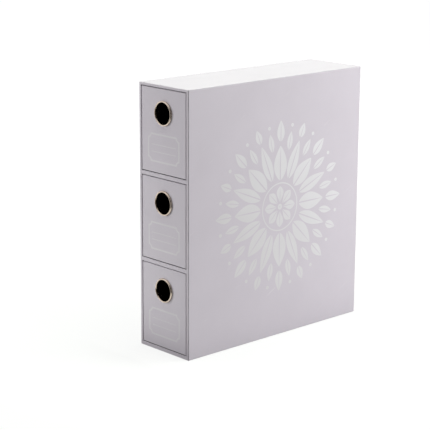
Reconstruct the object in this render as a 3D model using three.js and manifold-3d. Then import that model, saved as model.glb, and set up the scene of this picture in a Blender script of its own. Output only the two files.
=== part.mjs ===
// A card box: an open-fronted casing of wrapped board with a shelf between each two bays, and in
// each bay a drawer that pulls straight out by a metal ring in its front.
// Sizes are in millimetres. X runs across the front, Y from the front to the back, and Z up.
// The origin is under the middle of the whole box, on the surface that it stands on.

import * as THREE from "three";
import { RoundedBoxGeometry } from "three/addons/geometries/RoundedBoxGeometry.js";
import { mergeVertices } from "three/addons/utils/BufferGeometryUtils.js";
import Module from "manifold-3d";

// Bays, one for each drawer, named from the lowest up
const bayNames = ["lower", "middle", "upper"];
const bayWidth = 74.6;
const bayHeight = 95.3;
const bayDepth = 269;

// Shelves, one above each bay but the highest
const shelfNames = ["lower", "upper"];
const shelfThickness = 4.4;

// Casing boards, each with its cover paper glued on
const sideThickness = 3.4;
const topThickness = 3;
const bottomThickness = 4.4;
const backThickness = 3;
const casingEdgeRadius = 0.8;
const bayMouthRadius = 0.25;

// Lining papers, and the glue under them. A bay's starts just inside its mouth, and a drawer's stops
// short of the rim
const glueThickness = 0.05;
const bayLiningThickness = 0.2;
const bayLiningSetback = 1;
const drawerLiningThickness = 0.2;
const drawerLiningDrop = 1.5;

// Room between a drawer and the lining of its bay
const drawerSideClearance = 0.7;
const drawerTopClearance = 0.55;
const drawerRestClearance = 0.6;
const drawerBackClearance = 0.7;
const drawerRecess = 0.1;

// Drawer boards, each with its cover paper glued on
const drawerFrontThickness = 2.5;
const drawerSideThickness = 2;
const drawerBackThickness = 2;
const drawerBottomThickness = 2;
const drawerEdgeRadius = 0.5;
const drawerRimRadius = 0.4;

// Finger ring: a bead on the drawer's front, a barrel through it and a lip rolled over a washer
const ringBoreRadius = 12;
const ringBeadWidth = 2;
const ringBeadHeight = 1.9;
const ringBeadFoot = 0.35;
const ringWall = 0.6;
const ringHoleClearance = 0.3;
const ringBelowRim = 26.6;
const ringLipReach = 1.3;
const ringLipThickness = 0.6;
const washerWidth = 3.1;
const washerThickness = 0.5;

// Fineness of the round shapes, and how far a cutting shape runs past what it cuts
const roundSegments = 48;
const beadSteps = 8;
const edgeSteps = 3;
const overrun = 5;

// Sizes that follow
const bayCount = bayNames.length;
const bayPitch = bayHeight + shelfThickness;
const bayLiningFace = glueThickness + bayLiningThickness;
const drawerLiningFace = glueThickness + drawerLiningThickness;
const casingWidth = bayWidth + 2 * sideThickness;
const casingDepth = bayDepth + backThickness;
const casingHeight = bottomThickness + bayCount * bayPitch - shelfThickness + topThickness;
const drawerWidth = bayWidth - 2 * (bayLiningFace + drawerSideClearance);
const drawerHeight = bayHeight - 2 * bayLiningFace - drawerTopClearance - drawerRestClearance;
const drawerDepth = bayDepth - bayLiningFace - drawerBackClearance - drawerRecess;
const barrelRadius = ringBoreRadius + ringWall;
const holeRadius = barrelRadius + ringHoleClearance;
const ringOverhang = ringBeadHeight - drawerRecess;
const casingFront = ringOverhang / 2 - casingDepth / 2;

// Finishes
const coverPaper = new THREE.MeshStandardMaterial({ color: 0xd4cfd5, roughness: 0.55, metalness: 0 });
const bayPaper = new THREE.MeshStandardMaterial({ color: 0x1d1c1f, roughness: 0.8, metalness: 0 });
const drawerPaper = new THREE.MeshStandardMaterial({ color: 0x0c0c0d, roughness: 0.85, metalness: 0 });
const nickel = new THREE.MeshStandardMaterial({ color: 0xcec0b0, roughness: 0.22, metalness: 1 });
const steel = new THREE.MeshStandardMaterial({ color: 0x8d8b88, roughness: 0.4, metalness: 1 });

const wasm = await Module();
wasm.setup();

// A geometry as a solid that can be joined and cut
function solid(geometry) {
  const bare = geometry.clone().deleteAttribute("normal").deleteAttribute("uv");
  const { attributes, index } = mergeVertices(bare);
  const vertProperties = attributes.position.array;
  const triVerts = new Uint32Array(index.array);
  return new wasm.Manifold(new wasm.Mesh({ numProp: 3, vertProperties, triVerts }));
}

// A mesh of a solid, under its own name
function piece(name, shape, material) {
  const { vertProperties, triVerts } = shape.getMesh();
  const geometry = new THREE.BufferGeometry();
  geometry.setAttribute("position", new THREE.BufferAttribute(vertProperties, 3));
  geometry.setIndex(new THREE.BufferAttribute(triVerts, 1));
  geometry.computeVertexNormals();
  const mesh = new THREE.Mesh(geometry, material);
  mesh.name = name;
  return mesh;
}

// The four corners of a level rectangle, anticlockwise from above
function rectangle(x0, y0, x1, y1, z) {
  return [[x0, y0], [x1, y0], [x1, y1], [x0, y1]].map(([x, y]) => new THREE.Vector3(x, y, z));
}

// A closed surface up through a list of rectangles, with a cap at each end
function lofted(rings) {
  const corners = rings[0].length;
  const faces = [];
  for (let ring = 1; ring < rings.length; ring++) {
    for (let corner = 0; corner < corners; corner++) {
      const below = (ring - 1) * corners;
      const [a, b] = [below + corner, below + (corner + 1) % corners];
      faces.push(a, b, b + corners, a, b + corners, a + corners);
    }
  }
  const last = (rings.length - 1) * corners;
  faces.push(0, 2, 1, 0, 3, 2, last, last + 1, last + 2, last, last + 2, last + 3);
  return new THREE.BufferGeometry().setFromPoints(rings.flat()).setIndex(faces);
}

// A block from its lowest to its highest corner
function block(x0, y0, z0, x1, y1, z1) {
  return solid(lofted([rectangle(x0, y0, x1, y1, z0), rectangle(x0, y0, x1, y1, z1)]));
}

// A block with all its edges rounded, standing on its base behind the plane y = 0
function roundedBlock(width, depth, height, radius) {
  const geometry = new RoundedBoxGeometry(width, depth, height, edgeSteps, radius);
  return solid(geometry.translate(0, depth / 2, height / 2));
}

// What is taken out for a hollow below z = 0, whose mouth widens in a quarter round
function hollow(width, breadth, depth, mouthRadius) {
  const ring = (flare, z) => {
    const [x, y] = [width / 2 + flare, breadth / 2 + flare];
    return rectangle(-x, -y, x, y, z);
  };
  const rings = [ring(0, -depth)];
  for (let step = 0; step <= edgeSteps; step++) {
    const turn = (step / edgeSteps) * (Math.PI / 2);
    rings.push(ring(mouthRadius * (1 - Math.cos(turn)), mouthRadius * (Math.sin(turn) - 1)));
  }
  rings.push(ring(mouthRadius, overrun));
  return lofted(rings);
}

function bayFloor(level) {
  return bottomThickness + level * bayPitch;
}

// The casing as it would be in one piece, its front at y = 0
function casingShape() {
  const bay = hollow(bayWidth, bayHeight, bayDepth, bayMouthRadius).rotateX(Math.PI / 2);
  let shape = roundedBlock(casingWidth, casingDepth, casingHeight, casingEdgeRadius);
  for (let level = 0; level < bayCount; level++) {
    const middle = bayFloor(level) + bayHeight / 2;
    shape = shape.subtract(solid(bay.clone().translate(0, 0, middle)));
  }
  return shape;
}

// The casing's boards: the sides run the full height, and the rest lie between them
function casingBoards() {
  const shape = casingShape();
  const [inner, outer] = [bayWidth / 2, casingWidth / 2 + overrun];
  const [front, back] = [-overrun, casingDepth + overrun];
  const [under, over] = [-overrun, casingHeight + overrun];
  const ceiling = casingHeight - topThickness;
  const regions = {
    casing_left_panel: [-outer, front, under, -inner, back, over],
    casing_right_panel: [inner, front, under, outer, back, over],
    casing_top_panel: [-inner, front, ceiling, inner, back, over],
    casing_bottom_panel: [-inner, front, under, inner, back, bottomThickness],
    casing_back_panel: [-inner, bayDepth, bottomThickness, inner, back, ceiling],
  };
  shelfNames.forEach((name, level) => {
    const top = bayFloor(level + 1);
    regions[`${name}_shelf`] = [-inner, front, top - shelfThickness, inner, bayDepth, top];
  });
  return Object.entries(regions).map(([name, region]) =>
    piece(name, shape.intersect(block(...region)), coverPaper));
}

// A bay's lining, open at the front
function bayLining(name, level) {
  const [x, back] = [bayWidth / 2 - glueThickness, bayDepth - glueThickness];
  const floor = bayFloor(level) + glueThickness;
  const ceiling = bayFloor(level) + bayHeight - glueThickness;
  const thickness = bayLiningThickness;
  const outside = block(-x, bayLiningSetback, floor, x, back, ceiling);
  const inside = block(thickness - x, bayLiningSetback - overrun, floor + thickness,
    x - thickness, back - thickness, ceiling - thickness);
  return piece(`${name}_bay_lining`, outside.subtract(inside), bayPaper);
}

// The round hole through a drawer's front, or through what lies behind it
function fingerHole() {
  const length = drawerFrontThickness + 2 * overrun;
  const geometry = new THREE.CylinderGeometry(holeRadius, holeRadius, length, roundSegments);
  return solid(geometry.translate(0, drawerFrontThickness / 2, drawerHeight - ringBelowRim));
}

// A drawer's boards: the front and back run the full width, and the bottom lies inside them all
function drawerBoards(name) {
  const [length, height] = [drawerDepth, drawerHeight];
  const innerWidth = drawerWidth - 2 * drawerSideThickness;
  const innerLength = length - drawerFrontThickness - drawerBackThickness;
  const well = hollow(innerWidth, innerLength, height - drawerBottomThickness, drawerRimRadius);
  well.translate(0, drawerFrontThickness + innerLength / 2, height);
  const shape = roundedBlock(drawerWidth, length, height, drawerEdgeRadius)
    .subtract(solid(well)).subtract(fingerHole());
  const [inner, outer] = [innerWidth / 2, drawerWidth / 2 + overrun];
  const [under, over] = [-overrun, height + overrun];
  const [first, last] = [drawerFrontThickness, length - drawerBackThickness];
  const regions = {
    front: [-outer, -overrun, under, outer, first, over],
    left_side: [-outer, first, under, -inner, last, over],
    right_side: [inner, first, under, outer, last, over],
    back: [-outer, last, under, outer, length + overrun, over],
    bottom: [-inner, first, under, inner, last, drawerBottomThickness],
  };
  return Object.entries(regions).map(([part, region]) =>
    piece(`${name}_drawer_${part}`, shape.intersect(block(...region)), coverPaper));
}

// A drawer's lining, open at the top and round the finger hole
function drawerLining(name) {
  const x = drawerWidth / 2 - drawerSideThickness - glueThickness;
  const first = drawerFrontThickness + glueThickness;
  const last = drawerDepth - drawerBackThickness - glueThickness;
  const floor = drawerBottomThickness + glueThickness;
  const rim = drawerHeight - drawerLiningDrop;
  const thickness = drawerLiningThickness;
  const outside = block(-x, first, floor, x, last, rim);
  const inside = block(thickness - x, first + thickness, floor + thickness,
    x - thickness, last - thickness, rim + overrun);
  return piece(`${name}_drawer_lining`, outside.subtract(inside).subtract(fingerHole()), drawerPaper);
}

// A closed outline of radii and depths turned about the ring's axis, which lies along Y
function turned(name, outline, material) {
  const points = [...outline, outline[0]].map(([radius, y]) => new THREE.Vector2(radius, y));
  const mesh = new THREE.Mesh(new THREE.LatheGeometry(points, roundSegments), material);
  mesh.name = name;
  mesh.position.z = drawerHeight - ringBelowRim;
  return mesh;
}

// The finger ring's section: a half round bead in front, the barrel, and the lip behind the washer
function fingerRing(name) {
  const [bore, beadRadius] = [ringBoreRadius, ringBeadWidth / 2];
  const crown = ringBeadHeight - ringBeadFoot;
  const lipFront = drawerFrontThickness + drawerLiningFace + washerThickness;
  const lipEdge = barrelRadius + ringLipReach;
  const outline = [];
  for (let step = 0; step <= beadSteps; step++) {
    const turn = (step / beadSteps) * Math.PI;
    outline.push([
      bore + beadRadius * (1 - Math.cos(turn)),
      -ringBeadFoot - crown * Math.sin(turn),
    ]);
  }
  outline.push(
    [bore + ringBeadWidth, 0],
    [barrelRadius, 0],
    [barrelRadius, lipFront],
    [lipEdge, lipFront],
    [lipEdge, lipFront + ringLipThickness / 2],
    [lipEdge - ringLipThickness / 2, lipFront + ringLipThickness],
    [bore, lipFront + ringLipThickness],
  );
  return turned(`${name}_finger_ring`, outline, nickel);
}

// The washer that the ring's lip is rolled over, inside the drawer
function ringWasher(name) {
  const front = drawerFrontThickness + drawerLiningFace;
  const back = front + washerThickness;
  const outline = [
    [holeRadius, front],
    [holeRadius + washerWidth, front],
    [holeRadius + washerWidth, back],
    [holeRadius, back],
  ];
  return turned(`${name}_ring_washer`, outline, steel);
}

const box = new THREE.Group();
box.position.y = casingFront;
box.add(...casingBoards());

bayNames.forEach((name, level) => {
  const drawer = new THREE.Group();
  drawer.position.set(0, drawerRecess, bayFloor(level) + bayLiningFace + drawerRestClearance);
  drawer.add(...drawerBoards(name), drawerLining(name), fingerRing(name), ringWasher(name));
  box.add(bayLining(name, level), drawer);
});

const root = new THREE.Group();
root.add(box);

export default root;
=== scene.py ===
"""A card box: a casing of wrapped board with three drawers, each pulled out by a metal ring.

Everything is in metres, in the frame of the construction model: X to the right across the front,
Y from the front to the back, Z up, and the origin under the middle of the box.
"""

import math

import bpy
import numpy as np
from mathutils import Matrix, Vector


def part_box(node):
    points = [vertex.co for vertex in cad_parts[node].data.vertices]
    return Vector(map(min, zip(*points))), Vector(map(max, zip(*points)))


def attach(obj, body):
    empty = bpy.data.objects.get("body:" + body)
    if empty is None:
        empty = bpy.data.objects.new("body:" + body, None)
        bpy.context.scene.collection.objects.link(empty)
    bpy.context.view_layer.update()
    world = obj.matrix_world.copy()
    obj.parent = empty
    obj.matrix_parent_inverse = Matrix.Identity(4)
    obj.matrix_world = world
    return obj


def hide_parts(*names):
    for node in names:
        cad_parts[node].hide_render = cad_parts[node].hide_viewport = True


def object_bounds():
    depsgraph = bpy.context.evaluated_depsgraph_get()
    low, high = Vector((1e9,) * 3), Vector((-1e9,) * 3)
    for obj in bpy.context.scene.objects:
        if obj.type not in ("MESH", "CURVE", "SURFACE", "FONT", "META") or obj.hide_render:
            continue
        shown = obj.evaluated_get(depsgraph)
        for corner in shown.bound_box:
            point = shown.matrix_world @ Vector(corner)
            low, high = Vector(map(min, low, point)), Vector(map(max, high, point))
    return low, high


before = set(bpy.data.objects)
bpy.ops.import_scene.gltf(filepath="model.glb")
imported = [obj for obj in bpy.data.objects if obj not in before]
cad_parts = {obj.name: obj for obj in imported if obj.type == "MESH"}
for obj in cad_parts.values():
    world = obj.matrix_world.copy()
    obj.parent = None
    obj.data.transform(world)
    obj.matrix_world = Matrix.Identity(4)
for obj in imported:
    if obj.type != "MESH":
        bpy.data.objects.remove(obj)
model_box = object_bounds()

MM = 0.001
LEVELS = ("lower", "middle", "upper")

# Roundings of the wrapped boards, down to the one that stands for a sharp corner. Next to each
# rounding, a section has a point just clear of it, which keeps the edge's wear and painted shade
# off the flat board
CASING_EDGE = 0.8 * MM
BAY_MOUTH = 0.25 * MM
DRAWER_EDGE = 0.5 * MM
DRAWER_RIM = 0.4 * MM
PAPER_CREASE = 0.15 * MM
SHARP = 0.02 * MM
EDGE_HOLD = 1.5 * MM
ARC_STEPS = 8

# Faces that meet at more than this angle keep a crisp edge between them
CREASE_ANGLE = math.radians(40)

# The attribute that tells the cover paper how much a place is handled, and how much painted
# shade its edge takes, from 0 to 1
WEAR_AND_SHADE = "wear"

# Scuffs on the cover paper: their turn, in radians, and how many times longer than wide they are
SCUFF_TURN = 0.5
SCUFF_STRETCH = 14

# Sheets pasted on, and gloss printed on, the cover paper. A print starts a little under it
SHEET_THICKNESS = 0.12 * MM
SHEET_MARGIN = 2.5 * MM
SHEET_CORNER = 1 * MM
GLOSS_THICKNESS = 0.03 * MM
GLOSS_ROOT = 0.02 * MM

# The ring's section, which its plain solid has too
RING_BEAD_WIDTH = 2 * MM
RING_BEAD_FOOT = 0.35 * MM
RING_WALL = 0.6 * MM
RING_LIP_THICKNESS = 0.6 * MM
RING_LIP_REACH = 1.3 * MM
RING_STEPS = 192
BEAD_STEPS = 32
LIP_STEPS = 12

# The washer behind each ring, whose hole is as wide as the one in the board
WASHER_WIDTH = 3.1 * MM
WASHER_EASE = 0.12 * MM
WASHER_EASE_STEPS = 4

# Label frame on each drawer's front
LABEL_WIDTH = 52 * MM
LABEL_HEIGHT = 32 * MM
LABEL_BELOW_TOP = 50 * MM
LABEL_STROKE = 1.8 * MM
LABEL_SCOOP = 4.5 * MM
LABEL_SCOOP_STEPS = 16
LABEL_LINE_WIDTH = 40 * MM
LABEL_LINE_STROKE = 0.8 * MM
LABEL_LINES_BELOW = (12.5 * MM, 20.5 * MM)

# Rosette on each side of the casing. Its tiers of leaves are given in hundredths of its radius:
# how many, their turn as a share of one step, root, tip, half width, rib, and the belly's power
ROSETTE_RADIUS = 100 * MM
ROSETTE_FROM_FRONT = 140 * MM
ROSETTE_BELOW_TOP = 149 * MM
ROSETTE_TIERS = (
    (8, 0.0, 5.5, 24, 5.0, 0.9, 1.4),
    (8, 0.0, 31, 71, 9.4, 1.5, 0.85),
    (8, 0.5, 34, 79, 6.6, 1.4, 0.8),
    (16, 0.5, 66, 87, 3.6, 1.0, 0.9),
    (8, 0.0, 76, 100, 5.2, 1.2, 0.8),
    (8, 0.5, 83, 100, 4.2, 1.0, 0.8),
)
LEAF_POWER = 0.9
LEAF_STEPS = 28

# The rosette's rings, and its pearls: how many, how far out, and the two radii of one. The radii
# are in hundredths too
ROSETTE_RINGS = ((0.8, 3.4), (27, 28.4))
PEARL_COUNT = 16
PEARLS_OUT = 94.5
PEARL = (0.4, 2.1)
RING_PRINT_STEPS = 144
PEARL_STEPS = 24

# The floor's own brightness near the box, the distances between which it rises to white, its
# tone, the width of the painted shadow round the foot of the box that bounced light sees, its
# reach, and how far it lies under the box
FLOOR_GLOW = 0.8
FLOOR_FADE = (0.5, 1.1)
FLOOR_TONE = (0.2, 0.2, 0.2, 1)
FLOOR_PAINTED_SHADOW = 80 * MM
FLOOR_REACH = 12
FLOOR_DROP = 0.05 * MM

# The dark cloth on the camera's side: its near and far reach, the radius of its curl, its height,
# and how far it goes round, in degrees from the front towards the right
CLOTH_NEAR = 0.36
CLOTH_FAR = 1.9
CLOTH_CURL = 0.4
CLOTH_HEIGHT = 2.2
CLOTH_SWEEP = (-10, 140)
CLOTH_STEPS = 31

# The white card on the floor before the front: its reach across and from front to back, and its
# height
CARD_ACROSS = (-0.45, 0.03)
CARD_ALONG = (-0.75, -0.175)
CARD_HEIGHT = 0.1 * MM

# The grey level of light from all round, the point that the lamps face, and each lamp's name,
# place, size, watts and tint. The overhead one's tint leaves the top of the box neutral
SURROUNDINGS = 0.02
LAMP_AIM = (0, 0, 0.15)
LAMPS = (
    ("overhead_softbox", (0.1, 0.1, 1.5), 1.4, 25, (0.925, 1.0, 0.895)),
    ("large_right_softbox", (1.45, 1.45, 0.4), 1.0, 36.3, (1, 1, 1)),
    ("small_right_softbox", (0.55, 0.8, 0.3), 0.5, 3.3, (1, 1, 1)),
    ("left_softbox", (-1.1, -1.05, 0.45), 0.9, 15.6, (1, 1, 1)),
)

# The photograph's camera: its place, its lens and sensor in millimetres, its turn from the front
# towards the right, its tilt and its roll in degrees, and how far it sees
CAMERA_PLACE = (1.19676, -1.16633, 0.55002)
CAMERA_LENS = 123.943
CAMERA_SENSOR = 36
CAMERA_AZIMUTH = 47.208
CAMERA_ELEVATION = 13.906
CAMERA_ROLL = 0.243
CAMERA_SIGHT = 40


class Socket:
    """An output of a shader node. Sums on it with Python's operators add Math nodes."""

    def __init__(self, nodes, output):
        self.nodes, self.output = nodes, output

    def beside(self, output):
        """Another output of the same node."""
        return Socket(self.nodes, self.output.node.outputs[output])

    def math(self, operation, first, second):
        return self.nodes.add("ShaderNodeMath", {0: first, 1: second}, {"operation": operation})

    def __add__(self, other):
        return self.math("ADD", self, other)

    def __radd__(self, other):
        return self.math("ADD", other, self)

    def __sub__(self, other):
        return self.math("SUBTRACT", self, other)

    def __rsub__(self, other):
        return self.math("SUBTRACT", other, self)

    def __mul__(self, other):
        return self.math("MULTIPLY", self, other)

    def __rmul__(self, other):
        return self.math("MULTIPLY", other, self)


class Nodes:
    """The node tree of a material or of the surroundings, empty at first."""

    def __init__(self, tree):
        self.tree = tree
        tree.nodes.clear()

    def add(self, kind, inputs=None, settings=None, output=0):
        """Adds a node, sets it, fills its inputs with links or values, and gives one output.

        A node that ends the tree has no output, and gives nothing.
        """
        node = self.tree.nodes.new(kind)
        for key, value in (settings or {}).items():
            setattr(node, key, value)
        for key, value in (inputs or {}).items():
            if isinstance(value, Socket):
                self.tree.links.new(value.output, node.inputs[key])
            else:
                node.inputs[key].default_value = value
        return Socket(self, node.outputs[output]) if len(node.outputs) else None

    def vector(self, operation, *inputs, output=0):
        """A step of vector maths."""
        return self.add("ShaderNodeVectorMath", dict(enumerate(inputs)),
                        {"operation": operation}, output)

    def spread(self, value, low, high, **settings):
        """A value from low to high taken to run from 0 to 1, and held there."""
        return self.add("ShaderNodeMapRange", {"Value": value, "From Min": low, "From Max": high},
                        settings)

    def mix(self, factor, first, second):
        """A colour between two."""
        return self.add("ShaderNodeMix", {0: factor, 6: first, 7: second},
                        {"data_type": "RGBA"}, output=2)

    def ray(self, kind):
        """1 on rays of one kind, and 0 on all others."""
        return self.add("ShaderNodeLightPath", output=f"Is {kind} Ray")

    def shown(self):
        """1 on the rays that show things: to the eye, mirrored or through what's clear."""
        return self.ray("Camera") + self.ray("Glossy") + self.ray("Transmission")


class Finish(Nodes):
    """A material, made of nodes that read the piece's own place."""

    def __init__(self, name):
        self.material = bpy.data.materials.new(name)
        self.material.use_nodes = True
        super().__init__(self.material.node_tree)
        self.place = self.add("ShaderNodeTexCoord", output="Object")

    def stretch(self, scale):
        """The piece's place with each axis scaled."""
        return self.add("ShaderNodeMapping", {"Vector": self.place, "Scale": scale})

    def noise(self, clouds, detail, roughness=0.5, place=None):
        """Cloudy values about a half, with the given number of clouds to the metre."""
        return self.add("ShaderNodeTexNoise", {
            "Vector": place or self.place, "Scale": clouds, "Detail": detail,
            "Roughness": roughness})

    def bump(self, height, depth, strength=1.0):
        """The normal of a surface with that height, where 1 stands depth proud."""
        return self.add("ShaderNodeBump", {
            "Height": height, "Distance": depth, "Strength": strength})

    def surface(self, **inputs):
        """The material with that surface. Underscores in the names of inputs stand for spaces."""
        named = {key.replace("_", " "): value for key, value in inputs.items()}
        return self.end(self.add("ShaderNodeBsdfPrincipled", named))

    def end(self, shader):
        """The material, which ends in that shader."""
        self.add("ShaderNodeOutputMaterial", {"Surface": shader})
        return self.material


def rgb(red, green, blue):
    """A colour from the 0 to 255 values that a screen shows, as linear light."""
    value = np.array([red, green, blue]) / 255
    linear = np.where(value <= 0.04045, value / 12.92, ((value + 0.055) / 1.055) ** 2.4)
    return (*linear.tolist(), 1.0)


def cover_paper():
    """Matt laminated paper, pale grey with a touch of lilac and a fine tooth.

    The tone drifts over a hand's breadth, flecks of fibre lie in it, a rounded edge is smoother
    where handled and darker with painted shade, and here and there a faint pale scuff slants
    across the paper.
    """
    paper = Finish("cover_paper")
    drift = paper.noise(clouds=22, detail=3)
    fleck = paper.noise(clouds=900, detail=4, roughness=0.65)
    tooth = paper.noise(clouds=2600, detail=3, roughness=0.6)
    edge_wear_and_shade = paper.add("ShaderNodeAttribute", settings={"attribute_name": WEAR_AND_SHADE}, output="Fac")
    patchy = paper.spread(paper.noise(clouds=160, detail=3), 0.42, 0.66)
    tone = paper.mix(paper.spread(drift * 0.6 + fleck * 0.4, 0.34, 0.66),
                     rgb(212, 205, 214), rgb(216, 209, 218))
    slant = paper.add(
        "ShaderNodeMapping",
        {"Vector": paper.place, "Rotation": (SCUFF_TURN, 0, 0), "Scale": (1, SCUFF_STRETCH, 1)},
        {"vector_type": "TEXTURE"})
    scuff = paper.spread(paper.noise(clouds=420, detail=2, place=slant), 0.7, 0.8)
    # Painted shade: the rounded edges are darkened in patches towards a deeper lilac grey; the
    # same mask makes them smoother, as handled paper is.
    handled_and_shaded = edge_wear_and_shade * (patchy * 0.5 + 0.5)
    tone_with_painted_shade = paper.mix(handled_and_shaded * 0.55, tone, rgb(168, 161, 170))
    return paper.surface(
        Base_Color=paper.mix(scuff * 0.5, tone_with_painted_shade, rgb(232, 228, 233)),
        Roughness=0.56 + (fleck - 0.5) * 0.12 - handled_and_shaded * 0.1 - scuff * 0.1,
        Specular_IOR_Level=0.4,
        Normal=paper.bump(tooth * 0.6 + fleck * 0.4, depth=0.012 * MM, strength=0.8),
    )


def gloss_print(name, dark, light, coat, painted_sheen=None):
    """Clear gloss over a paler print: smooth, with the paper's tooth faint under it.

    Given a range for the painted sheen, the print is painted paler from the lower front to the
    upper back, a painted reflection of brighter surroundings, between the two sums of the place's
    height and depth that the range gives.
    """
    print_ = Finish(name)
    tooth = print_.noise(clouds=1400, detail=3)
    share = print_.spread(print_.noise(clouds=30, detail=3), 0.35, 0.65)
    if painted_sheen:
        # Painted reflection: the print is paler towards the upper back, as if its gloss mirrored
        # brighter surroundings there.
        back = print_.add("ShaderNodeSeparateXYZ", {0: print_.place}, output="Y")
        share = print_.spread(back + back.beside("Z"), *painted_sheen) * 0.85 + share * 0.15
    return print_.surface(
        Base_Color=print_.mix(share, dark, light),
        Roughness=0.34 + tooth * 0.1,
        Coat_Weight=coat,
        Coat_Roughness=0.12,
        Normal=print_.bump(tooth, depth=0.004 * MM, strength=0.6),
    )


def black_lining(name, dark, light):
    """Uncoated black paper, with short fibres that catch a little light."""
    lining = Finish(name)
    along = lining.noise(
        clouds=1500, detail=3, roughness=0.6, place=lining.stretch((1, 0.25, 1)))
    across = lining.noise(
        clouds=1300, detail=3, roughness=0.6, place=lining.stretch((0.3, 1, 1)))
    fibres = along * 0.5 + across * 0.5
    fibre = lining.spread(fibres, 0.42, 0.68)
    scuff = lining.spread(lining.noise(clouds=60, detail=4), 0.5, 0.75)
    return lining.surface(
        Base_Color=lining.mix(fibre * 0.6 + scuff * 0.3, dark, light),
        Roughness=0.9 - fibre * 0.14,
        Specular_IOR_Level=0.3,
        Normal=lining.bump(fibres, depth=0.03 * MM, strength=0.8),
    )


def warm_nickel():
    """Bright plated metal with a champagne cast, faintly hazy, with fine tumbling marks."""
    nickel = Finish("ring_nickel")
    haze = nickel.noise(clouds=240, detail=3)
    marks = nickel.noise(
        clouds=2200, detail=3, roughness=0.7, place=nickel.stretch((1, 6, 1)))
    tone = nickel.spread(haze, 0.35, 0.65)
    return nickel.surface(
        Base_Color=nickel.mix(tone, rgb(204, 188, 171), rgb(215, 201, 187)),
        Metallic=1.0,
        Roughness=0.1 + haze * 0.06 + marks * 0.04,
        Normal=nickel.bump(marks, depth=0.002 * MM, strength=0.5),
    )


def zinc_steel():
    """Plain plated steel, cloudy and a little rough."""
    steel = Finish("washer_steel")
    bloom = steel.noise(clouds=420, detail=4, roughness=0.6)
    tone = steel.spread(bloom, 0.3, 0.7)
    return steel.surface(
        Base_Color=steel.mix(tone, rgb(150, 148, 145), rgb(182, 180, 176)),
        Metallic=1.0,
        Roughness=0.3 + bloom * 0.24,
        Normal=steel.bump(bloom, depth=0.01 * MM, strength=0.5),
    )


def dull_stuff(name, clouds, dark, light):
    """What the studio's cloth and card are made of, with no shine and a faint cloudy tone."""
    stuff = Finish(name)
    tone = stuff.noise(clouds, detail=2)
    return stuff.surface(Base_Color=stuff.mix(tone, dark, light), Roughness=0.9)


def floor_finish():
    """A pale floor, white to the eye, that dims where the box keeps the lamps from it.

    The white is complete from the fade's end on, so that no lamp's reach shows. For the light
    that the floor sends back up, its colour holds a painted shadow that goes to black towards the
    foot of the box, which leaves the foot darker.
    """
    floor = Finish("pale_floor")
    smooth = {"interpolation_type": "SMOOTHSTEP"}
    away = floor.vector("LENGTH", floor.place, output="Value")
    white = floor.spread(away, *FLOOR_FADE, **smooth)
    strength = floor.shown() * (FLOOR_GLOW + (1 - FLOOR_GLOW) * white)
    glow = floor.add("ShaderNodeEmission", {"Color": (1, 1, 1, 1), "Strength": strength})
    half = (np.array(model_box[1]) - np.array(model_box[0])) / 2
    beside = floor.vector("SUBTRACT", floor.vector("ABSOLUTE", floor.place), half.tolist())
    from_box = floor.vector("LENGTH", floor.vector("MAXIMUM", beside, (0, 0, 0)), output="Value")
    # Painted shadow: round the foot of the box the floor's colour goes to black for bounced light,
    # while the eye still sees the floor pale.
    clear_of_painted_shadow = floor.spread(from_box, 0, FLOOR_PAINTED_SHADOW, **smooth)
    eye = floor.ray("Camera")
    lit = eye.math("MAXIMUM", clear_of_painted_shadow, eye)
    plain = floor.add("ShaderNodeBsdfDiffuse", {"Color": floor.mix(lit, (0, 0, 0, 1), FLOOR_TONE)})
    return floor.end(floor.add("ShaderNodeAddShader", {0: plain, 1: glow}))


class Skin:
    """The surface of one piece, gathered from grids of points that each close on themselves."""

    def __init__(self):
        self.points, self.faces, self.wear, self.count = [], [], [], 0

    def grid(self, points, wear=0.0, tube=False):
        """Adds copies of a grid of points: copies by rows by columns by three, or one grid alone.

        The last column always joins the first. The last row joins the first in a tube, and
        otherwise one face caps the first row and another the last. Faces are turned outwards
        where the volume inside them comes out negative.
        """
        points = points.reshape(-1, *points.shape[-3:])
        copies, rows, columns = points.shape[:3]
        number = np.arange(rows * columns).reshape(rows, columns)
        near = number if tube else number[:-1]
        far = np.roll(number, -1, 0) if tube else number[1:]
        quads = np.stack([near, np.roll(near, -1, 1), np.roll(far, -1, 1), far], -1).reshape(-1, 4)
        caps = [] if tube else [number[0, ::-1], number[-1]]
        flat = points[0].reshape(-1, 3)
        inside = sum(volume_under(flat, loop) for loop in (quads, *(c[None] for c in caps)))
        if inside < 0:
            quads, caps = quads[:, ::-1], [c[::-1] for c in caps]
        for copy in range(copies):
            start = self.count + copy * rows * columns
            self.faces += (quads + start).tolist() + [(c + start).tolist() for c in caps]
        self.points.append(points.reshape(-1, 3))
        self.wear.append(np.broadcast_to(wear, points.shape[:3]).ravel())
        self.count += copies * rows * columns
        return self

    def piece(self, name, body, finish, slot, *stands_for):
        """The skin as an object that rides on a body and stands for its plain solids."""
        mesh = bpy.data.meshes.new(name)
        mesh.from_pydata(np.concatenate(self.points).tolist(), [], self.faces)
        wear = mesh.attributes.new(WEAR_AND_SHADE, "FLOAT", "POINT")
        wear.data.foreach_set("value", np.concatenate(self.wear).astype(np.float32))
        mesh.materials.append(finish)
        mesh.shade_smooth()
        mesh.set_sharp_from_angle(angle=CREASE_ANGLE)
        piece = linked(name, mesh)
        weighted = piece.modifiers.new("even_shading", "WEIGHTED_NORMAL")
        weighted.keep_sharp = True
        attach(piece, body)
        if stands_for:
            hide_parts(*stands_for)
        return piece


def linked(name, data):
    """A new object in the scene."""
    item = bpy.data.objects.new(name, data)
    bpy.context.scene.collection.objects.link(item)
    return item


def volume_under(points, loops):
    """Volume between faces and the origin: a sixth of the triple product of each fan triangle."""
    first = points[loops[:, :1]]
    second, third = points[loops[:, 1:-1]], points[loops[:, 2:]]
    return float((first * np.cross(second, third)).sum() / 6)


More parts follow.
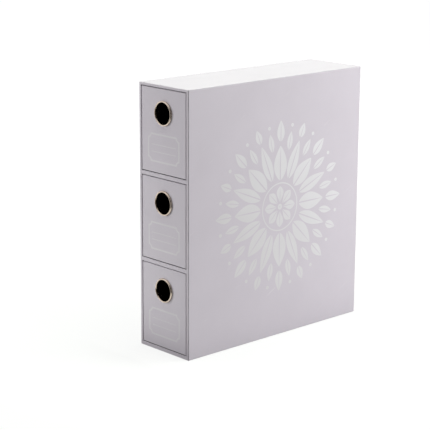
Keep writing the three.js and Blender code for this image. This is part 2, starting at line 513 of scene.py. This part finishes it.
def quarter(steps=ARC_STEPS):
    """Sines, cosines and an edge's wear and painted shade round a quarter circle, highest halfway
    round.
    """
    turn = np.linspace(0, math.pi / 2, steps + 1)
    return np.sin(turn), np.cos(turn), np.sin(2 * turn)


def rounded_loop(x0, y0, x1, y1, radius):
    """A rectangle's outline with a quarter circle at each corner, and a point just clear of it.

    Each quarter's centre lies one radius in from both sides. The points beside it keep the wear
    and painted shade of the corner off the straight stretches.
    """
    sine, cosine, wear = quarter()
    across = np.concatenate([[radius], radius * cosine, [-EDGE_HOLD]])
    along = np.concatenate([[-EDGE_HOLD], radius * sine, [radius]])
    wear = np.concatenate([[0], wear, [0]])
    corners = (
        (x1 - radius + across, y1 - radius + along),
        (x0 + radius - along, y1 - radius + across),
        (x0 + radius - across, y0 + radius - along),
        (x1 - radius + along, y0 + radius - across),
    )
    return np.concatenate([np.stack(corner, -1) for corner in corners]), np.tile(wear, 4)


def nested(levels, plane):
    """A closed surface up through rounded rectangles, one inside or beyond the next.

    Each level is (x0, y0, x1, y1, radius, height, wear and painted shade). plane turns the points
    of the rectangle and their height into places.
    """
    rows, worn_and_shaded = [], []
    for x0, y0, x1, y1, radius, height, wear in levels:
        loop, corner_wear = rounded_loop(x0, y0, x1, y1, max(radius, SHARP))
        rows.append(plane(loop, height))
        worn_and_shaded.append(np.maximum(corner_wear * (radius > SHARP), wear))
    return np.stack(rows), np.stack(worn_and_shaded)


def facing_front(loop, depth):
    """Places from points across and up the front, at one depth behind it."""
    return np.stack([loop[:, 0], np.full(len(loop), depth), loop[:, 1]], -1)


def facing_up(loop, height):
    """Places from points across and back, at one height."""
    return np.stack([loop[:, 0], loop[:, 1], np.full(len(loop), height)], -1)


def inset(box, by):
    """A rectangle with every side moved in."""
    x0, y0, x1, y1 = box
    return x0 + by, y0 + by, x1 - by, y1 - by


def node_box(name):
    """A plain solid's lowest and highest corner as numbers."""
    low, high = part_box(name)
    return np.array(low), np.array(high)


def casing_corners():
    """The casing's lowest corner on the left and its highest on the right."""
    return node_box("casing_left_panel")[0], node_box("casing_right_panel")[1]


def casing_cover(finish):
    """The five outer boards, wrapped as one: a deep tray lying on its side, open to the front.

    Its section runs from the middle of the back over the rounded back edge, along the outside,
    round the front edge to the flat rim, round the mouth and along the inside to the inner back.
    """
    left_low, left_high = node_box("casing_left_panel")
    right_low, right_high = node_box("casing_right_panel")
    base_high = node_box("casing_bottom_panel")[1]
    top_low = node_box("casing_top_panel")[0]
    back_low = node_box("casing_back_panel")[0]
    outer = (left_low[0] + GLOSS_THICKNESS, left_low[2] + SHEET_THICKNESS,
             right_high[0] - GLOSS_THICKNESS, right_high[2])
    inner = (left_high[0], base_high[2], right_low[0], top_low[2])
    front, back = left_low[1], left_high[1] - SHEET_THICKNESS
    sine, cosine, worn_and_shaded = quarter()
    edge, mouth = CASING_EDGE, BAY_MOUTH
    levels = []
    for s, c, w in zip(sine, cosine, worn_and_shaded):
        step = edge * (1 - s)
        levels.append((*inset(outer, step), edge - step, back - edge * (1 - c), w))
    levels.append((*outer, edge, back - edge - EDGE_HOLD, 0))
    levels.append((*outer, edge, front + edge + EDGE_HOLD, 0))
    for s, c, w in zip(sine, cosine, worn_and_shaded):
        step = edge * (1 - c)
        levels.append((*inset(outer, step), edge - step, front + edge * (1 - s), w))
    for s, c, w in zip(sine, cosine, worn_and_shaded):
        step = mouth * (1 - s)
        levels.append((*inset(inner, -step), PAPER_CREASE + step, front + mouth * (1 - c), w))
    levels.append((*inner, PAPER_CREASE, front + mouth + EDGE_HOLD, 0))
    levels.append((*inner, PAPER_CREASE, back_low[1], 0))
    points, wear = nested(levels, facing_front)
    return Skin().grid(points, wear).piece(
        "casing_cover", "casing", finish, "cover_paper",
        "casing_left_panel", "casing_right_panel", "casing_top_panel", "casing_bottom_panel",
        "casing_back_panel")


def shelf_cover(name, finish):
    """A shelf whose front edge is rounded above and below: its section carried across the box."""
    low, high = node_box(name)
    sine, cosine, worn_and_shaded = quarter()
    front = np.concatenate([
        [[high[1], low[2]]],
        [[low[1] + BAY_MOUTH + EDGE_HOLD, low[2]]],
        np.stack([low[1] + BAY_MOUTH * (1 - sine), low[2] + BAY_MOUTH * (1 - cosine)], -1),
        np.stack([low[1] + BAY_MOUTH * (1 - cosine), high[2] - BAY_MOUTH * (1 - sine)], -1),
        [[low[1] + BAY_MOUTH + EDGE_HOLD, high[2]]],
        [[high[1], high[2]]],
    ])
    wear = np.concatenate([[0, 0], worn_and_shaded, worn_and_shaded, [0, 0]])
    across = np.array([low[0], high[0]])
    points = np.stack([
        np.broadcast_to(across[:, None], (2, len(front))),
        np.broadcast_to(front[:, 0], (2, len(front))),
        np.broadcast_to(front[:, 1], (2, len(front))),
    ], -1)
    return Skin().grid(points, wear).piece(f"{name}_cover", "casing", finish, "cover_paper", name)


def pasted_sheet(name, box, heights, plane, finish):
    """A thin sheet of cover paper pasted on: a rounded rectangle with a crisp edge."""
    points, _ = nested([(*box, SHEET_CORNER, height, 0) for height in heights], plane)
    return Skin().grid(points).piece(name, "casing", finish, "cover_paper")


def back_and_base_sheets(finish):
    """The sheets that cover the turned-in paper on the casing's back and underside."""
    low, high = casing_corners()
    x0, y0, z0 = low + SHEET_MARGIN
    x1, y1, z1 = high - SHEET_MARGIN
    pasted_sheet("casing_back_sheet", (x0, z0, x1, z1),
                 (high[1] - 2 * SHEET_THICKNESS, high[1]), facing_front, finish)
    pasted_sheet("casing_base_sheet", (x0, y0, x1, y1),
                 (low[2] + 2 * SHEET_THICKNESS, low[2]), facing_up, finish)


def washer_circles(level):
    """The middle of a drawer's washer, its outer radius and the radius of its hole."""
    low, high = node_box(f"{level}_ring_washer")
    outer = (high[0] - low[0]) / 2
    return (low + high) / 2, outer, outer - WASHER_WIDTH


def drawer_face(level, finish):
    """A drawer's front board, a plate round the finger hole.

    Rays from the hole's middle to points round the rectangle carry the section: the flat front,
    the rounded edge, the side, the crease, the back and the hole's wall.
    """
    low, high = node_box(f"{level}_drawer_front")
    hole, _, hole_radius = washer_circles(level)
    box = (low[0], low[2], high[0], high[2])
    front, back = low[1], high[1]
    sine, cosine, worn_and_shaded = quarter()
    loop, corner_wear = dense_loop(box, DRAWER_EDGE)
    angle = np.arctan2(loop[:, 1] - hole[2], loop[:, 0] - hole[0])
    rim = hole[[0, 2]] + hole_radius * np.stack([np.cos(angle), np.sin(angle)], -1)
    rows, wear = [facing_front(rim, front)], [0 * angle]
    for s, c, w in zip(sine[::-1], cosine[::-1], worn_and_shaded[::-1]):
        step = DRAWER_EDGE * (1 - c)
        edge, _ = dense_loop(inset(box, step), max(DRAWER_EDGE - step, SHARP))
        rows.append(facing_front(edge, front + DRAWER_EDGE * (1 - s)))
        wear.append(np.maximum(w, corner_wear))
    for s, c in zip(sine, cosine):
        edge, _ = dense_loop(inset(box, PAPER_CREASE * (1 - c)), DRAWER_EDGE)
        rows.append(facing_front(edge, back - PAPER_CREASE * (1 - s)))
        wear.append(corner_wear)
    rows.append(facing_front(rim, back))
    wear.append(0 * angle)
    return Skin().grid(np.stack(rows), np.stack(wear), tube=True).piece(
        f"{level}_drawer_face", f"{level}_drawer", finish, "cover_paper", f"{level}_drawer_front")


def dense_loop(box, radius, steps=24):
    """A rounded rectangle's outline with each straight stretch in even steps."""
    x0, y0, x1, y1 = inset(box, radius)
    sine, cosine, worn_and_shaded = quarter()
    share = np.linspace(0, 1, steps + 1)[1:-1]
    centres = [(x1, y1), (x0, y1), (x0, y0), (x1, y0)]
    turns = [(cosine, sine), (-sine, cosine), (-cosine, -sine), (sine, -cosine)]
    arcs = [centre + radius * np.stack(turn, -1) for centre, turn in zip(centres, turns)]
    parts, wear = [], []
    for arc, following in zip(arcs, arcs[1:] + arcs[:1]):
        parts += [arc, arc[-1] + share[:, None] * (following[0] - arc[-1])]
        wear += [worn_and_shaded, 0 * share]
    return np.concatenate(parts), np.concatenate(wear)


def drawer_walls(level, finish):
    """A drawer's sides and back, wrapped as one: a wall's section carried round three sides."""
    left_low, left_high = node_box(f"{level}_drawer_left_side")
    right_low, right_high = node_box(f"{level}_drawer_right_side")
    back_high = node_box(f"{level}_drawer_back")[1]
    wall = left_high[0] - left_low[0]
    base, rim = left_low[2], left_high[2]
    sine, cosine, worn_and_shaded = quarter()
    edge, lip = DRAWER_EDGE, DRAWER_RIM
    section = np.concatenate([
        np.stack([edge * (1 - sine), base + edge * (1 - cosine), worn_and_shaded], -1),
        [[0, base + edge + EDGE_HOLD, 0], [0, rim - edge - EDGE_HOLD, 0]],
        np.stack([edge * (1 - cosine), rim - edge * (1 - sine), worn_and_shaded], -1),
        np.stack([wall - lip * (1 - sine), rim - lip * (1 - cosine), worn_and_shaded], -1),
        [[wall, rim - lip - EDGE_HOLD, 0], [wall, base, 0]],
    ])
    rows, wear = [], []
    for step, height, edge_wear_and_shade in section:
        path, corner_wear = three_sides(
            left_low[0] + step, left_low[1], right_high[0] - step, back_high[1] - step,
            max(edge - step, SHARP))
        rows.append(facing_up(path, height))
        wear.append(np.maximum(corner_wear, edge_wear_and_shade))
    points, wear = np.stack(rows, 1), np.stack(wear, 1)
    return Skin().grid(points, wear).piece(
        f"{level}_drawer_walls", f"{level}_drawer", finish, "cover_paper",
        f"{level}_drawer_left_side", f"{level}_drawer_right_side", f"{level}_drawer_back")


def three_sides(x0, y0, x1, y1, radius):
    """A path back along the left, across and forward along the right, round two corners."""
    sine, cosine, worn_and_shaded = quarter()
    left = np.stack([x0 + radius * (1 - cosine), y1 - radius * (1 - sine)], -1)
    right = np.stack([x1 - radius * (1 - sine), y1 - radius * (1 - cosine)], -1)
    path = np.concatenate([
        [[x0, y0], [x0, y1 - radius - EDGE_HOLD]], left, [[x0 + radius + EDGE_HOLD, y1]],
        [[x1 - radius - EDGE_HOLD, y1]], right, [[x1, y1 - radius - EDGE_HOLD], [x1, y0]]])
    return path, np.concatenate([[0, 0], worn_and_shaded, [0, 0], worn_and_shaded, [0, 0]])


def turned(section, middle):
    """A closed section of radii and depths turned about a line through the middle, along Y."""
    angle = np.linspace(0, 2 * math.pi, RING_STEPS, endpoint=False)[:, None]
    radius, depth = section[None, :, 0], section[None, :, 1]
    return np.stack([
        middle[0] + radius * np.cos(angle),
        np.broadcast_to(depth, (RING_STEPS, section.shape[0])),
        middle[2] + radius * np.sin(angle),
    ], -1)


def finger_ring(level, finish):
    """The ring, pressed from tube: a half round bead, a barrel and a lip rolled outwards.

    The bead is half an ellipse on a short foot, and the lip's edge half a circle.
    """
    low, high = node_box(f"{level}_finger_ring")
    bead_outer = (high[0] - low[0]) / 2
    bore = bead_outer - RING_BEAD_WIDTH
    face = node_box(f"{level}_drawer_front")[0][1]
    lip_front, lip_back = high[1] - RING_LIP_THICKNESS, high[1]
    lip_edge = bore + RING_WALL + RING_LIP_REACH
    turn = np.linspace(0, math.pi, BEAD_STEPS + 1)
    crown = face - RING_BEAD_FOOT - low[1]
    bead = np.stack([bore + RING_BEAD_WIDTH / 2 * (1 - np.cos(turn)),
                     face - RING_BEAD_FOOT - crown * np.sin(turn)], -1)
    roll = np.linspace(0, math.pi, LIP_STEPS + 1)
    half = RING_LIP_THICKNESS / 2
    lip = np.stack([lip_edge - half * (1 - np.sin(roll)),
                    lip_front + half * (1 - np.cos(roll))], -1)
    sine, cosine, _ = quarter()
    inner = np.stack([bore + half * (1 - sine), lip_back - half * (1 - cosine)], -1)
    barrel = [[bead_outer, face], [bore + RING_WALL, face], [bore + RING_WALL, lip_front]]
    section = np.concatenate([bead, barrel, lip, inner])
    return Skin().grid(turned(section, (low + high) / 2), tube=True).piece(
        f"{level}_pull_ring", f"{level}_drawer", finish, "ring_nickel", f"{level}_finger_ring")


def ring_washer(level, finish):
    """The flat washer behind a drawer's front, its edges eased by quarter circles."""
    low, high = node_box(f"{level}_ring_washer")
    middle, outer, hole = washer_circles(level)
    sine, cosine, _ = quarter(WASHER_EASE_STEPS)
    less, more = WASHER_EASE * (1 - sine), WASHER_EASE * (1 - cosine)
    corners = [(hole + less, low[1] + more), (hole + more, high[1] - less),
               (outer - less, high[1] - more), (outer - more, low[1] + less)]
    section = np.concatenate([np.stack(corner, -1) for corner in corners])
    return Skin().grid(turned(section, middle), tube=True).piece(
        f"{level}_washer", f"{level}_drawer", finish, "washer_steel", f"{level}_ring_washer")


def band(inner_rail, outer_rail):
    """A flat printed stroke between two rails: four corners of its section at each point.

    The rails are arrays of points in a plane. The third number of each corner is how far it
    stands proud.
    """
    low, high = -GLOSS_ROOT, GLOSS_THICKNESS
    section = [(inner_rail, low), (inner_rail, high), (outer_rail, high), (outer_rail, low)]
    return np.stack([
        np.concatenate([rail, np.full((*rail.shape[:-1], 1), height)], -1)
        for rail, height in section], -2)


def scooped_loop(width, height, scoop, step):
    """A rectangle with a quarter circle scooped out of each corner, moved in by a step.

    The scoops keep their centres on the corners and grow by the step, so that the strokes
    between two such loops are even.
    """
    a, b, radius = width / 2, height / 2, scoop + step
    first = math.asin(step / radius)
    turn = np.linspace(first, math.pi / 2 - first, LABEL_SCOOP_STEPS + 1)
    less_sine, less_cosine = radius * np.sin(turn), radius * np.cos(turn)
    corners = [(a - less_sine, b - less_cosine), (-a + less_cosine, b - less_sine),
               (-a + less_sine, -b + less_cosine), (a - less_cosine, -b + less_sine)]
    return np.concatenate([np.stack(corner, -1) for corner in corners])


def front_label(level, finish):
    """A label frame printed in gloss on a drawer's front: a scooped frame and two ruled lines."""
    low, high = node_box(f"{level}_drawer_front")
    outer = scooped_loop(LABEL_WIDTH, LABEL_HEIGHT, LABEL_SCOOP, 0)
    inner = scooped_loop(LABEL_WIDTH, LABEL_HEIGHT, LABEL_SCOOP, LABEL_STROKE)
    middle = high[2] - LABEL_BELOW_TOP - LABEL_HEIGHT / 2

    def on_front(points):
        across, up, proud = np.moveaxis(points, -1, 0)
        return np.stack([across, low[1] - proud, middle + up], -1)

    skin = Skin().grid(on_front(band(inner, outer)), tube=True)
    ends = np.array([-LABEL_LINE_WIDTH / 2, LABEL_LINE_WIDTH / 2])
    for below in LABEL_LINES_BELOW:
        up = LABEL_HEIGHT / 2 - below
        rails = [np.stack([ends, np.full(2, up + half)], -1)
                 for half in (-LABEL_LINE_STROKE / 2, LABEL_LINE_STROKE / 2)]
        skin.grid(on_front(band(*rails)))
    return skin.piece(f"{level}_label", f"{level}_drawer", finish, "cover_paper")


def leaf_halves(root, tip, half_width, rib, belly):
    """The two halves of a leaf that points outwards, with a gap along its rib.

    Each half lies between the rib and an edge that swells as a sine of a power of the way along.
    A power below one puts the belly towards the root, and above one towards the tip.
    """
    way = np.linspace(0, 1, LEAF_STEPS + 1)
    along = root + (tip - root) * way
    swell = half_width * np.sin(math.pi * way ** belly) ** LEAF_POWER + PAPER_CREASE
    gap = rib / 2 * (1 - way ** 3)
    return [(np.stack([along, side * gap], -1), np.stack([along, side * (gap + swell)], -1))
            for side in (-1, 1)]


def spun(rail, count, start=0.0):
    """Copies of a rail turned evenly about the middle, starting at a share of one turn's step."""
    angle = (np.arange(count) + start) * 2 * math.pi / count
    cosine, sine = np.cos(angle)[:, None], np.sin(angle)[:, None]
    return np.stack([rail[:, 0] * cosine - rail[:, 1] * sine,
                     rail[:, 0] * sine + rail[:, 1] * cosine], -1)


def ring_rails(inner, outer, count):
    """Two circles about the middle."""
    angle = np.linspace(0, 2 * math.pi, count, endpoint=False)
    unit = np.stack([np.cos(angle), np.sin(angle)], -1)
    return inner * unit, outer * unit


def rosette(name, side, finish):
    """A rosette printed in gloss: tiers of leaves about a flower, with pearls between the tips."""
    low, high = casing_corners()
    face = (high[0] if side > 0 else low[0]) - side * GLOSS_THICKNESS
    middle_y = low[1] + ROSETTE_FROM_FRONT
    middle_z = high[2] - ROSETTE_BELOW_TOP
    unit = ROSETTE_RADIUS / 100

    def on_side(points):
        back, up, proud = np.moveaxis(points, -1, 0)
        return np.stack([face + side * proud, middle_y + back, middle_z + up], -1)

    skin = Skin()
    for count, start, root, tip, width, rib, belly in ROSETTE_TIERS:
        for rails in leaf_halves(root * unit, tip * unit, width * unit, rib * unit, belly):
            skin.grid(on_side(band(*(spun(rail, count, start) for rail in rails))))
    for inner, outer in ROSETTE_RINGS:
        rails = ring_rails(inner * unit, outer * unit, RING_PRINT_STEPS)
        skin.grid(on_side(band(*rails)), tube=True)
    pearl = [rail + (PEARLS_OUT * unit, 0)
             for rail in ring_rails(PEARL[0] * unit, PEARL[1] * unit, PEARL_STEPS)]
    skin.grid(on_side(band(*(spun(rail, PEARL_COUNT, 0.5) for rail in pearl))), tube=True)
    return skin.piece(name, "casing", finish, "cover_paper")


def dress():
    """Every piece of the box in its finish."""
    cover = cover_paper()
    bay_lining = black_lining("bay_lining_paper", rgb(24, 23, 26), rgb(46, 44, 48))
    drawer_lining = black_lining("drawer_lining_paper", rgb(12, 12, 13), rgb(30, 29, 31))
    nickel = warm_nickel()
    steel = zinc_steel()
    print_ = gloss_print(
        "gloss_print", rgb(222, 219, 222), rgb(235, 233, 237), coat=0.5, painted_sheen=(0.05, 0.3))
    label = gloss_print("label_print", rgb(220, 216, 221), rgb(224, 220, 225), coat=0.3)
    casing_cover(cover)
    for shelf in ("lower_shelf", "upper_shelf"):
        shelf_cover(shelf, cover)
    back_and_base_sheets(cover)
    rosette("right_side_rosette", 1, print_)
    rosette("left_side_rosette", -1, print_)
    for level in LEVELS:
        drawer_face(level, cover)
        drawer_walls(level, cover)
        finger_ring(level, nickel)
        ring_washer(level, steel)
        front_label(level, label)
        keep_solid(f"{level}_drawer_bottom", cover)
        keep_solid(f"{level}_drawer_lining", drawer_lining)
        keep_solid(f"{level}_bay_lining", bay_lining)


def keep_solid(name, finish):
    """A plain solid whose shape is right gets its finish."""
    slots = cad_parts[name].material_slots
    for slot in slots:
        slot.material = finish
    if not slots:
        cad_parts[name].data.materials.append(finish)


def staged(name, mesh, finish):
    """An object of the studio, which is no part of the box."""
    mesh.materials.append(finish)
    piece = linked(name, mesh)
    return piece


def level_sheet(name, across, along, height, finish):
    """A level rectangle in the studio, from its reach across and from front to back."""
    (left, right), (near, far) = across, along
    corners = [(left, near), (right, near), (right, far), (left, far)]
    mesh = bpy.data.meshes.new(name)
    mesh.from_pydata([(x, y, height) for x, y in corners], [], [(0, 1, 2, 3)])
    return staged(name, mesh, finish)


def floor():
    """A wide level floor under the box."""
    reach = (-FLOOR_REACH, FLOOR_REACH)
    level_sheet("floor", reach, reach, -FLOOR_DROP, floor_finish())


def softbox(name, place, size, power, colour):
    """A square lamp that faces the box and shows neither to the camera nor in what mirrors it."""
    lamp = bpy.data.lights.new(name, "AREA")
    lamp.shape, lamp.size, lamp.energy, lamp.color = "SQUARE", size, power, colour
    holder = linked(name, lamp)
    holder.location = place
    holder.rotation_mode = "QUATERNION"
    holder.rotation_quaternion = (Vector(LAMP_AIM) - Vector(place)).to_track_quat("-Z", "Y")
    holder.visible_camera = False
    holder.visible_glossy = False


def dark_cloth():
    """A dark cloth round the camera's side, which shows in what mirrors it.

    It also keeps light that comes off the floor there from the box. Its section runs out along
    the floor, up a quarter circle and straight on up, and is swept about the upright line
    through the box's middle.
    """
    sine, cosine, _ = quarter()
    reach = np.concatenate([[CLOTH_NEAR], CLOTH_FAR - CLOTH_CURL * (1 - sine), [CLOTH_FAR]])
    height = np.concatenate([[0], CLOTH_CURL * (1 - cosine), [CLOTH_HEIGHT]])
    angle = np.radians(np.linspace(*CLOTH_SWEEP, CLOTH_STEPS))[:, None]
    places = [reach * np.sin(angle), -reach * np.cos(angle), height + 0 * angle]
    points = np.stack(places, -1).reshape(-1, 3)
    number = np.arange(len(points)).reshape(CLOTH_STEPS, len(reach))
    quads = np.stack([number[:-1, :-1], number[1:, :-1], number[1:, 1:], number[:-1, 1:]], -1)
    mesh = bpy.data.meshes.new("dark_cloth")
    mesh.from_pydata(points.tolist(), [], quads.reshape(-1, 4).tolist())
    finish = dull_stuff("dark_cloth", 40, rgb(16, 16, 17), rgb(26, 26, 27))
    cloth = staged("dark_cloth", mesh, finish)
    cloth.visible_camera = False
    cloth.visible_shadow = False


def white_card():
    """A white card on the floor before the front, which sends light up the front alone."""
    finish = dull_stuff("white_card", 400, rgb(234, 234, 234), rgb(240, 240, 240))
    card = level_sheet("white_card", CARD_ACROSS, CARD_ALONG, CARD_HEIGHT, finish)
    card.visible_camera = False
    card.visible_shadow = False
    card.visible_glossy = False


def surroundings():
    """White to the eye and in reflections, and a plain grey level of light on everything."""
    world = bpy.data.worlds.new("studio")
    bpy.context.scene.world = world
    world.use_nodes = True
    nodes = Nodes(world.node_tree)
    grey, white = (nodes.add("ShaderNodeBackground", {"Color": (1, 1, 1, 1), "Strength": strength})
                   for strength in (SURROUNDINGS, 1.0))
    either = nodes.add("ShaderNodeMixShader", {0: nodes.shown(), 1: grey, 2: white})
    nodes.add("ShaderNodeOutputWorld", {"Surface": either})


def studio():
    """Light from all round, four softboxes, and a cloth and a card that shape their light."""
    surroundings()
    for lamp in LAMPS:
        softbox(*lamp)
    dark_cloth()
    white_card()


def camera():
    """The photograph's camera, from its place, its turn about Z, its tilt and its roll."""
    azimuth, elevation, roll = map(math.radians, (CAMERA_AZIMUTH, CAMERA_ELEVATION, CAMERA_ROLL))
    back = Vector((math.sin(azimuth) * math.cos(elevation),
                   -math.cos(azimuth) * math.cos(elevation), math.sin(elevation)))
    right = Vector((0, 0, 1)).cross(back).normalized()
    up = back.cross(right)
    rolled = Matrix.Rotation(roll, 3, back)
    turn = Matrix((rolled @ right, rolled @ up, back)).transposed().to_4x4()
    data = bpy.data.cameras.new("camera")
    data.lens, data.sensor_width, data.clip_end = CAMERA_LENS, CAMERA_SENSOR, CAMERA_SIGHT
    holder = linked("camera", data)
    holder.matrix_world = Matrix.Translation(CAMERA_PLACE) @ turn
    bpy.context.scene.camera = holder


camera()
studio()
floor()
dress()
bpy.context.scene.view_settings.view_transform = "Standard"
